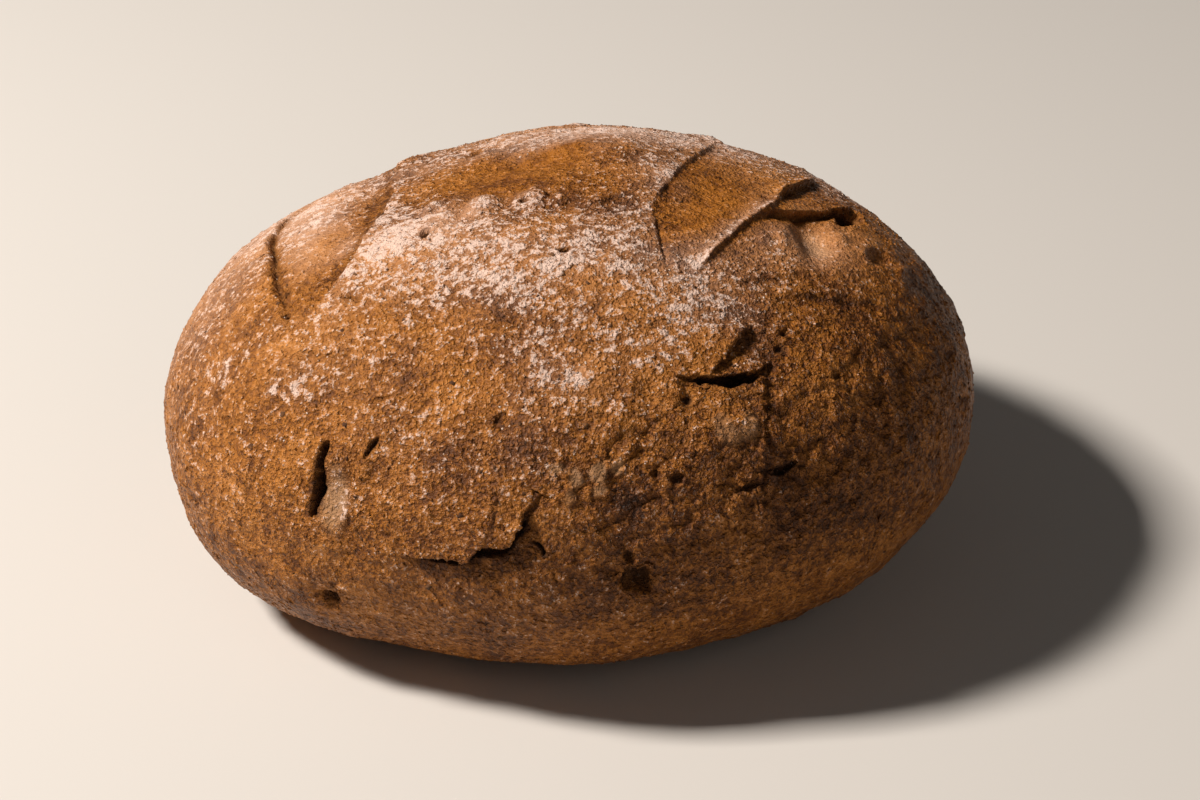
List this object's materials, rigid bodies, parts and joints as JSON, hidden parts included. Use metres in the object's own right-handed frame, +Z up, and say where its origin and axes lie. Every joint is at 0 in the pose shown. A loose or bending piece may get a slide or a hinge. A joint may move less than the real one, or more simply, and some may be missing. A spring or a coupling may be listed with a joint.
{
  "type": "sourdough loaf",
  "caption": "Round, low country loaf with folded, torn and pitted crust, resting on a flat base.",
  "frame": {"origin": "middle of the loaf's box, on the level of its flat base", "axes": "+Z up, +X along the longer diameter towards the shaded side, -Y towards the front that the picture shows"},
  "size_m": [0.2077, 0.1879, 0.1025],
  "materials": {
    "crust": "baked bread crust, matt golden brown with a dusting of flour"
  },
  "bodies": {
    "root": {"loaf": "crust"}
  },
  "joints": []
}
